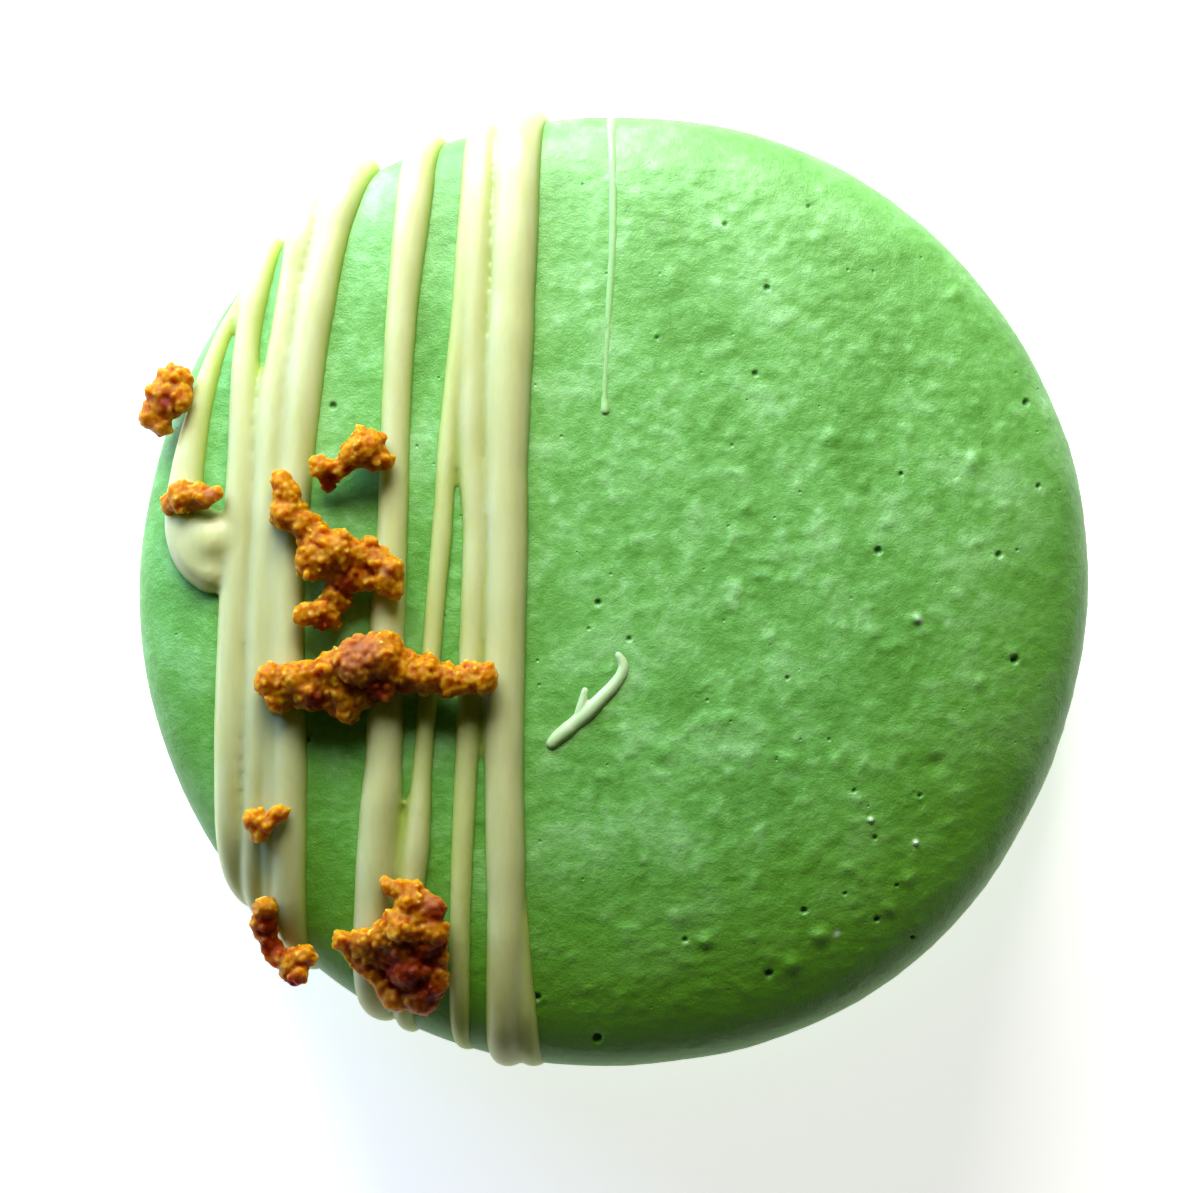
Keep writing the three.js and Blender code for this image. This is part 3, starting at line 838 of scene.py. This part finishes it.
# strands as seen from above, x, y and width in mm from one end to the other; hang is how far each
# end runs on over the shoulder, and sink how deep the bead's middle lies at the start, along it and
# at the end
strands = {
    'rightBand': {'hang': (3.2, 3.4), 'sink': (0.15, 0.15, 0.5), 'line': [
        (-4.6, 23.2, 2.3), (-4.95, 16.5, 2.4), (-5.25, 9.5, 2.3), (-5.3, 2, 2.15), (-5.45, -6.5, 2.05),
        (-5.35, -15.6, 2), (-5.45, -21.3, 1.9), (-5.45, -23, 1.8)]},
    'rightSplit': {'hang': (0, 3), 'sink': (0.6, 0.25, 0.5), 'line': [
        (-5.05, -12, 1.1), (-4.75, -18, 1.4), (-4.3, -23, 1.5)]},
    'rightInner': {'hang': (2.6, 2.8), 'sink': (0, 0.1, 0.4), 'line': [
        (-6.4, 22.6, 1.5), (-6.8, 17.5, 1.5), (-7.05, 9.5, 1.5), (-6.85, 2.5, 1.4), (-7.2, -6, 1.3),
        (-7.6, -14.8, 1.15), (-7.65, -22.2, 1.05)]},
    'rightOuter': {'hang': (2.2, 2.4), 'sink': (0.1, 0.05, 0.2), 'line': [
        (-6.9, 22.5, 1), (-7.3, 18.5, 1), (-7.7, 12.5, 1.1), (-8.35, 6, 1.05), (-8.95, -1.5, 1.05),
        (-9.5, -8.6, 1.05), (-9.85, -12.9, 1.4), (-10.25, -17, 1.15), (-10.5, -21.2, 1.1)]},
    'middleBand': {'hang': (2.8, 3.4), 'sink': (0, 0.1, 0.5), 'line': [
        (-9.7, 21.4, 1.75), (-10.05, 18.8, 1.9), (-10.6, 13.6, 1.65), (-10.9, 7, 1.5), (-11.2, 0, 1.75),
        (-11.45, -8.5, 2), (-11.65, -11, 2.1), (-11.8, -13, 2.1), (-12.1, -19.9, 1.9)]},
    'leftBand': {'hang': (3.2, 3.6), 'sink': (-0.45, 0.15, 0.5), 'line': [
        (-13.5, 19.4, 2), (-14.2, 17.3, 1.9), (-15.3, 11.5, 2), (-16.1, 4.5, 2), (-16.4, -1.5, 2),
        (-16.25, -9, 2), (-16.15, -17, 1.9)]},
    'leftMiddle': {'hang': (2.8, 3.6), 'sink': (-0.45, 0.1, 0.4), 'line': [
        (-15.4, 17.8, 1.8), (-16.15, 14.5, 1.6), (-16.6, 11.5, 1.7), (-17, 8, 1.9), (-17.45, 0, 1.9),
        (-17.75, -8.5, 1.7), (-17.9, -15.1, 1.5)]},
    'leftOuter': {'hang': (2.6, 3.8), 'sink': (-0.1, 0.1, 0.4), 'line': [
        (-17.7, 15.6, 1.5), (-18.4, 11.5, 1.45), (-18.5, 6, 1.8), (-18.85, 0, 1.8), (-19.1, -7, 1.8),
        (-19.05, -13.2, 1.75)]},
    'leftLoop': {'hang': (2.2, 0), 'sink': (0.1, 0.15, 0.2), 'line': [
        (-18.4, 14.8, 0.9), (-19.6, 12.6, 1), (-20.6, 9.5, 1.4), (-21.3, 6, 1.8), (-21.4, 3.7, 2.3),
        (-21, 2, 2.5), (-20.1, 0.9, 2.3), (-19.2, 0.4, 1.7)]},
    'puddle': {'hang': (0, 0), 'sink': (0.3, 0.25, 0.3), 'line': [
        (-20.8, 4.3, 1.8), (-20.5, 3.2, 2.7), (-19.9, 2.2, 3), (-19.2, 1.3, 2.5)]},
    'web': {'hang': (0, 0), 'sink': (0.7, 0.3, 0.4), 'line': [     # where two strands ran together
        (-10.4, -9.4, 0.5), (-10.5, -11, 0.9), (-10.75, -13.5, 1.3), (-11.1, -17.5, 1.2)]},
    'leftFill': {'hang': (0, 2.6), 'sink': (0.5, 0, 0.3), 'line': [     # here too
        (-15.35, 15.5, 0.9), (-15.9, 11.5, 1.2), (-16.5, 6, 1.5), (-16.95, 0, 1.6), (-17.05, -8.5, 1.4),
        (-17.05, -15.5, 1.2)]},
    'outerFill': {'hang': (0, 2.6), 'sink': (0.7, 0.25, 0.4), 'line': [     # and here
        (-17.6, 10.2, 0.7), (-17.8, 7, 1.2), (-18.15, 0, 1.3), (-18.4, -8, 1.3), (-18.45, -13.8, 1.2)]},
}
thinLines = {
    'thread': {'hang': (0.8, 0), 'sink': (0.16, 0.18, 0.16), 'line': [
        (-0.1, 23.3, 0.56), (0, 18.5, 0.54), (-0.25, 13.5, 0.5), (-0.42, 10, 0.46), (-0.4, 9.2, 0.56),
        (-0.4, 8.7, 0.64)]},
    'squiggle': {'hang': (0, 0), 'sink': (0.18, 0.2, 0.16), 'line': [
        (0.09, -3.02, 0.5), (0.52, -3.8, 0.66), (0.21, -4.58, 0.74), (-0.58, -5.44, 0.84),
        (-1.25, -6.1, 0.92), (-1.9, -6.69, 0.86), (-2.76, -7.39, 0.82), (-3.3, -7.95, 0.66)]},
    'squiggleTail': {'hang': (0, 0), 'sink': (0.14, 0.14, 0.12), 'line': [
        (-1.75, -6.4, 0.6), (-1.5, -5.5, 0.56), (-1.36, -4.8, 0.4)]},
}
drizzle = {
    'voxel': 0.15,
    'draftVoxel': 0.3,
    'threadVoxel': 0.08,
    'stepsPerSpan': 12,
    'wobble': 0.06,             # share by which a strand's width wanders
    'wobbleLength': 2.5,
    'settle': 5,                # mm from an end to where the bead lies at its usual depth
    'smoothing': 4,
    'thinUnder': 0.6,           # mm over the shell where the greener, darker edge starts: the green showing through, and painted shade at the foot
    'pool': (-20.2, 2.6, 1.6),  # the loop's soft end: x, y, radius
    'poolSmoothing': 40,
}


def layStrand(name, spec):
    # a round tube along the shell, its middle a little under the surface
    flats = [(*peeled(x, y), width) for x, y, width in spec['line']]
    startHang, endHang = spec['hang']
    for end, before, place, hang in ((0, 1, 0, startHang), (-1, -2, len(flats) + 1, endHang)):
        if hang:
            here, inner = Vector(flats[end][:2]), Vector(flats[before][:2])
            beyond = here + (here - inner).normalized() * hang
            flats.insert(place, (*beyond, flats[end][2]))
    line = smoothThrough(flats, drizzle['stepsPerSpan'])
    run = [0.0]
    for a, b in zip(line, line[1:]):
        run.append(run[-1] + math.dist(a[:2], b[:2]))
    total, settle = run[-1], drizzle['settle']
    sinkRuns = (0, settle, total - settle, total)
    startSink, midSink, endSink = spec['sink']
    bpy.ops.curve.primitive_nurbs_path_add()
    strand = bpy.context.object
    strand.name = name
    curve = strand.data
    curve.splines.clear()
    spline = curve.splines.new('POLY')
    spline.points.add(len(line) - 1)
    for point, (x, y, width), along in zip(spline.points, line, run):
        halfWidth = width / 2
        toEnd = min(along, total - along) / halfWidth
        taper = math.sqrt(1 - (1 - toEnd) ** 2) if toEnd < 1 else 1
        drift = noise.noise(Vector((x, y, width * 9)) / drizzle['wobbleLength'])
        wobble = 1 + drizzle['wobble'] * drift
        sink = np.interp(along, sinkRuns, (startSink, midSink, midSink, endSink))
        point.co = (*(onShell(Vector((x, y)), -sink) * mm), 1)
        point.radius = max(halfWidth * wobble * taper, 0.02) * mm      # never quite a point
    curve.dimensions = '3D'
    curve.bevel_depth = 1
    curve.bevel_resolution = 6
    curve.use_fill_caps = True
    activate(strand)
    bpy.ops.object.convert(target='MESH')
    return bpy.context.object


def joinAll(pieces):
    activate(pieces[0])
    for piece in pieces:
        piece.select_set(True)
    bpy.ops.object.join()
    return bpy.context.object


def heightOver(piece):
    # mm that each point stands off the shell
    places = pointsOf(piece)
    wave = np.array([shellWave(azimuth) for azimuth in np.arctan2(places[:, 1], places[:, 0])])
    radius = np.hypot(places[:, 0], places[:, 1]) / (1 + wave / shellForm['radius'])
    height = places[:, 2] - upperBase
    nearest = np.full(len(places), 99.0)
    for lineRadius, lineHeight in sectionLine[::4]:      # a fourth of its steps is fine enough
        nearest = np.minimum(nearest, np.hypot(radius - lineRadius, height - lineHeight))
    return nearest


bands = joinAll([layStrand(name, spec) for name, spec in strands.items()])
remesh(bands, drizzle['voxel'])
applyModifier(bands, 'SMOOTH', factor=0.5, iterations=drizzle['smoothing'])
pool = bands.vertex_groups.new(name='pool')
inPool = np.flatnonzero(awayFrom(pointsOf(bands), *drizzle['pool']) < 1)
pool.add(inPool.tolist(), 1.0, 'REPLACE')
applyModifier(bands, 'SMOOTH', factor=0.5, iterations=drizzle['poolSmoothing'], vertex_group='pool')
paint(bands, 'thin', np.clip(1 - heightOver(bands) / drizzle['thinUnder'], 0, 1))
finishPiece(bands, 'drizzle', chocolateMaterial, 'top_shell')
threads = joinAll([layStrand(name, spec) for name, spec in thinLines.items()])
remesh(threads, drizzle['threadVoxel'])
paint(threads, 'thin', np.where(pointsOf(threads)[:, 1] > 0, 1.0, 0.3))      # the long thread is thinner
finishPiece(threads, 'drizzleThreads', threadMaterial, 'top_shell')
print('drizzle done,', len(bands.data.vertices), 'and', len(threads.data.vertices), 'points')


# each crumb is lumps grown together: x, y, radius and how high its middle stands over the shell
crumbs = {
    'crumb_left_rim': [
        (-21.85, 10.5, 0.85, 1.2), (-22.45, 10.7, 0.65, 1.6), (-22.75, 9.85, 0.8, 1.6),
        (-21.75, 9.65, 0.8, 1.2), (-22.3, 9.3, 0.85, 1.3), (-23.05, 8.7, 0.72, 1.5),
        (-22.65, 8.35, 0.6, 1.3)],
    'crumb_left_blob': [
        (-21.5, 4.6, 0.9, 1.05), (-20.7, 4.7, 0.75, 1.1), (-22.1, 4.35, 0.62, 0.9),
        (-19.95, 4.8, 0.45, 1.2)],
    'crumb_bridge': [
        (-12.35, 7.1, 1.1, 1.4), (-12.9, 6.75, 0.8, 1.3), (-11.8, 6.6, 0.7, 1.4),
        (-11.25, 6.35, 0.42, 1.3), (-13.7, 6.1, 0.55, 1.2), (-14.6, 6.1, 0.6, 1.2),
        (-14.35, 5.7, 0.45, 1), (-14.15, 5.2, 0.4, 0.65)],
    'crumb_chain': [
        (-16.5, 5.4, 0.6, 1.4), (-16.25, 4.7, 0.7, 1.4), (-16.3, 3.8, 0.9, 1.4), (-15.3, 3.3, 0.65, 1.3),
        (-14.8, 2.6, 0.9, 1.3), (-14.9, 1.45, 1.05, 1.3), (-13.8, 2, 1.15, 1.4), (-13, 1.8, 0.75, 1.3),
        (-12.15, 2.4, 0.4, 1.3), (-11.8, 1.5, 0.65, 1.3), (-11, 1.05, 0.7, 1.5), (-11.5, 0.4, 0.7, 1.4),
        (-10.9, 0, 0.5, 1.4), (-13.3, 0.6, 0.85, 1), (-14.4, -1.1, 0.95, 0.8), (-13.7, -0.5, 0.7, 0.7),
        (-15.4, -1.2, 0.65, 1.2)],
    'crumb_long': [
        (-17.1, -4.5, 0.85, 1.4), (-16.75, -5.4, 0.85, 1.2), (-15.9, -4.4, 0.95, 1.5),
        (-15, -5, 1.1, 1.2), (-13.3, -5.65, 1, 1.1), (-14, -4.1, 1.1, 1.5), (-12.9, -3.6, 1.3, 1.7),
        (-11.6, -3.2, 1.25, 1.7), (-11.6, -4.6, 1, 1.2), (-10.4, -4.1, 1.05, 1.4),
        (-9.4, -4.2, 1.1, 1.4), (-8.3, -4.6, 0.85, 1.3), (-7.3, -4.4, 0.85, 1.4),
        (-6.5, -4.45, 0.85, 1.5)],
    'crumb_small': [
        (-17.95, -11.5, 0.62, 1.2), (-17.5, -11.7, 0.55, 1.2), (-17.65, -12.2, 0.5, 1.1),
        (-16.95, -11.4, 0.4, 1.2), (-16.6, -11.05, 0.42, 1.3)],
    'crumb_hook': [
        (-17.4, -15.95, 0.6, 1.1), (-17.65, -16.7, 0.58, 1.2), (-17.3, -17.2, 0.55, 1.1),
        (-17.1, -17.9, 0.58, 1.3), (-16.8, -18.6, 0.58, 1.6), (-16, -19.1, 0.8, 1.5),
        (-15.5, -18.3, 0.65, 1.2), (-16, -19.65, 0.5, 2)],
    'crumb_large': [
        (-11.3, -14.8, 0.45, 1.2), (-10.5, -14.95, 0.65, 1.3), (-9.85, -14.85, 0.45, 1.4),
        (-10, -15.6, 0.9, 1.5), (-9.1, -16, 0.8, 1.4), (-10.6, -16.9, 1.15, 1.7), (-9.1, -17.1, 1, 1.6),
        (-13.4, -17.6, 0.65, 1.2), (-12.4, -17.6, 0.9, 1.4), (-12.7, -18.6, 0.6, 1.2),
        (-12, -19, 0.65, 1.2), (-11.3, -18.4, 0.9, 1.1), (-10.1, -18.7, 1.4, 1.1),
        (-10.9, -20.3, 0.8, 1.2), (-9.6, -20.3, 0.95, 1.2), (-9, -19.5, 0.9, 1.3),
        (-8.9, -18.3, 0.75, 1.2)],
}
# darker red-brown patches, most on the sides of the crumbs towards -Y, and patches that sugar dusts: x,
# y, radius
patches = {
    'darkRedPatch': [
        (-9.5, -18.4, 1.2), (-11, -18.8, 1.1), (-10.2, -19.2, 1.3), (-9.2, -20.2, 1.2), (-8.8, -16, 0.8),
        (-8.6, -17.8, 0.5), (-11.7, -5, 0.85), (-14.8, -5.5, 0.7), (-13.4, 0.3, 0.7), (-14.5, -1.8, 0.6),
        (-17.2, -16.8, 0.8), (-17.1, -17.8, 0.8), (-16, -19.7, 0.7), (-22.4, 9.4, 0.55),
        (-14.2, 5.2, 0.62), (-13.3, -17.7, 0.25), (-10.5, -5, 0.5)],
    'dusty': [
        (-12.7, -3.1, 1.1), (-13.1, -3.8, 0.7), (-20.1, 4.8, 0.35), (-11.3, 0.9, 0.35),
        (-9, -15.6, 0.4)],
}
toast = {
    'core': 0.98,               # share of a lump's radius that its core has under the grains
    'coreStretch': (0.85, 1.12),
    'grains': 50,               # on a lump of 1 mm radius
    'grain': (0.07, 0.13),      # their radius
    'nuggets': 16,              # bigger grains on such a lump
    'nugget': (0.15, 0.27),
    'grainStretch': (0.75, 1.3),
    'bedded': 0.4,              # share of its radius that a grain lies in the lump
    'scatter': (0.85, 1.02),    # and how its distance from the lump's middle varies
    'gap': 0.35,                # lumps that nearly touch are joined over gaps up to this
    'joint': (0.75, 0.95),      # by a ball of this share of the smaller one's radius
    'wave': 0.12,               # relief: height, then width or spacing
    'waveWidth': 0.7,
    'crystal': 0.16,
    'crystalWidth': 0.36,
    'pore': 0.1,
    'poreSpacing': 0.6,
    'poreReach': 0.34,
    'firstVoxel': 0.08,
    'voxel': 0.058,
    'draftVoxel': 0.2,
    'creaseShade': [(8, 3.2), (50, 1.3)],      # painted shade in the creases: rounds of averaging, and how much they darken
    'level': 0.46,              # tone of level ground, 0 in hollows and 1 on crests: painted shade in hollows, painted highlight on crests
    'patch': 0.92,              # strength of the patches
}


def addBall(place, radius):
    bpy.ops.mesh.primitive_ico_sphere_add(subdivisions=2, radius=radius * mm, location=place * mm)
    return bpy.context.object


def buildCrumb(name, lumps):
    draw = random.Random(name)
    joints = []
    for i, a in enumerate(lumps):
        for b in lumps[i + 1:]:
            if math.dist(a[:2], b[:2]) < a[2] + b[2] + toast['gap']:
                radius = min(a[2], b[2]) * draw.uniform(*toast['joint'])
                joints.append(((a[0] + b[0]) / 2, (a[1] + b[1]) / 2, radius, (a[3] + b[3]) / 2))
    balls = []
    firstRadius = lumps[0][2] * toast['core']      # of the ball that is copied for the grains
    for x, y, radius, lift in lumps + joints:
        middle = overShell(x, y, lift)
        core = addBall(middle, radius * toast['core'])
        core.scale = [draw.uniform(*toast['coreStretch']) for _ in range(3)]
        core.rotation_euler = [draw.uniform(0, math.pi) for _ in range(3)]
        balls.append(core)
        grains = round(toast['grains'] * radius ** 2)
        for i in range(grains + round(toast['nuggets'] * radius ** 2)):
            way = Vector([draw.gauss(0, 1) for _ in range(3)]).normalized()
            size = draw.uniform(*toast['grain' if i < grains else 'nugget'])
            ball = balls[0].copy()
            ball.data = balls[0].data.copy()
            bpy.context.collection.objects.link(ball)
            out = way * (radius - size * toast['bedded']) * draw.uniform(*toast['scatter'])
            ball.location = (middle + out) * mm
            ball.scale = [size / firstRadius * draw.uniform(*toast['grainStretch']) for _ in range(3)]
            balls.append(ball)
    piece = joinAll(balls)
    bpy.ops.object.transform_apply(location=True, rotation=True, scale=True)
    remesh(piece, toast['firstVoxel'])
    seed = draw.uniform(0, 50)

    def rise(p, normal):
        q = p + Vector((seed, 0, 0))
        wave = noise.noise(q / toast['waveWidth'])
        crystal = 0.5 - noise.voronoi(q / toast['crystalWidth'])[0][0]
        pore = max(0.0, 1 - noise.voronoi(q / toast['poreSpacing'])[0][0] / toast['poreReach'])
        return toast['wave'] * wave + toast['crystal'] * crystal - toast['pore'] * pore

    sculpt(piece, rise)
    remesh(piece, toast['voxel'])
    applyModifier(piece, 'SMOOTH', factor=0.5, iterations=1)
    # painted shade: darker in creases and hollows, paler on crests
    creaseShade = sum(hollowness(piece, rounds) * weight for rounds, weight in toast['creaseShade'])
    paint(piece, 'crest', np.clip(toast['level'] - creaseShade, 0, 1))
    places = pointsOf(piece)
    for kind, spotList in patches.items():
        share = np.zeros(len(places))
        for x, y, radius in spotList:
            away = awayFrom(places, x, y, radius)
            share = np.maximum(share, toast['patch'] * np.exp(-(away ** 3)))
        paint(piece, kind, share)
    first, *rest = name.split('_')
    pieceName = first + ''.join(word.title() for word in rest)
    finishPiece(piece, pieceName, crumbMaterial, name)
    return len(piece.data.vertices)


for name, lumps in crumbs.items():
    print(name, 'done,', buildCrumb(name, lumps), 'points')


studio = {
    # name: degrees from +X seen from above, degrees above the floor, metres away, size, watts, colour
    'lights': {
        'windowLight': (97, 33, 0.26, (0.2, 0.12), 1.48, (1.0, 0.95, 0.92)),
        'skyLight': (128, 12, 0.26, (0.26, 0.12), 1.5, (0.36, 0.52, 1.0)),
    },
    'aim': (0, 0, 18),      # mm, what the lights face
    'airColour': (1.0, 1.0, 0.15),
    'airStrength': 0.03,
    'floorSize': 1.2,       # metres
    'floorGlow': 0.74,
}


def addAreaLight(name, azimuth, height, distance, size, power, colour):
    a, h = math.radians(azimuth), math.radians(height)
    way = Vector((math.cos(a) * math.cos(h), math.sin(a) * math.cos(h), math.sin(h)))
    bpy.ops.object.light_add(type='AREA', location=Vector(studio['aim']) * mm + way * distance,
                             rotation=way.to_track_quat('Z', 'Y').to_euler())
    light = bpy.context.object
    light.name = name
    light.data.shape = 'RECTANGLE'
    light.data.size, light.data.size_y = size
    light.data.energy = power
    light.data.color = colour


for name, settings in studio['lights'].items():
    addAreaLight(name, *settings)

world = bpy.data.worlds.new('studioAir')
bpy.context.scene.world = world
world.use_nodes = True
air = world.node_tree.nodes['Background'].inputs
air['Color'].default_value = (*studio['airColour'], 1)
air['Strength'].default_value = studio['airStrength']

bpy.ops.mesh.primitive_plane_add(size=studio['floorSize'], location=(0, 0, 0))
floor = bpy.context.object
floor.name = 'studioFloor'
floorMaterial = newMaterial(
    'paleFloor', **{'Base Color': (0.9, 0.9, 0.9, 1), 'Roughness': 0.7, 'Emission Color': (1, 1, 1, 1),
                    'Emission Strength': studio['floorGlow']})[0]
floor.data.materials.append(floorMaterial)

view = {
    'over': (-0.83, -0.33),     # x, y straight under the camera
    'distance': 900,            # from the shoulder of the upper shell
    'width': 59.9,              # of what the camera sees there
    'sensor': 36,
}
cameraPlace = Vector((*view['over'], upperBase + shellForm['shoulder'] + view['distance']))
bpy.ops.object.camera_add(location=cameraPlace * mm, rotation=(0, 0, 0))
camera = bpy.context.object
camera.data.sensor_width = view['sensor']
camera.data.lens = view['sensor'] * view['distance'] / view['width']
camera.data.clip_start = 0.01
camera.data.clip_end = 10
bpy.context.scene.camera = camera
bpy.context.scene.view_settings.view_transform = 'Standard'
print('studio done')
